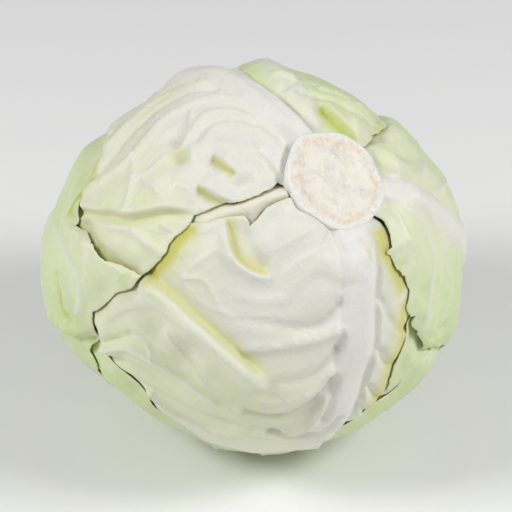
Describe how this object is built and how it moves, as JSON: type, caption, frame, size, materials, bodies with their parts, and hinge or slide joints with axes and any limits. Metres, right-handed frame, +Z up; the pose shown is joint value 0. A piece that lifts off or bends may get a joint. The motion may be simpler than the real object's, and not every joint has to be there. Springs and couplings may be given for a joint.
{
  "type": "white cabbage",
  "caption": "Head of white cabbage with waved, ribbed wrapper leaves lapped round a dense heart, lying on its side with the cut stem turned up.",
  "frame": {"origin": "on the surface it rests on, under the middle of the object's box", "axes": "+Z up; the picture was taken from the -Y side, looking along +Y and down by 35 degrees; the cut stem points up and towards -Y and +X"},
  "size_m": [0.1716, 0.1603, 0.158],
  "materials": {
    "pale_leaf": "waxy satin leaf, creamy white at the ribs and pale green between them",
    "green_leaf": "waxy satin leaf, pale green with white veins",
    "inner_leaf": "waxy satin leaf, yellowish",
    "cut_stem": "matt, fibrous cut face, cream with a brownish ring"
  },
  "bodies": {
    "root": {"heart": "inner_leaf", "stem": "cut_stem", "leaf_c": "inner_leaf", "leaf_a": "pale_leaf", "leaf_b": "green_leaf", "leaf_s": "green_leaf", "leaf_r": "green_leaf", "leaf_u": "pale_leaf", "leaf_l": "green_leaf"}
  },
  "joints": []
}
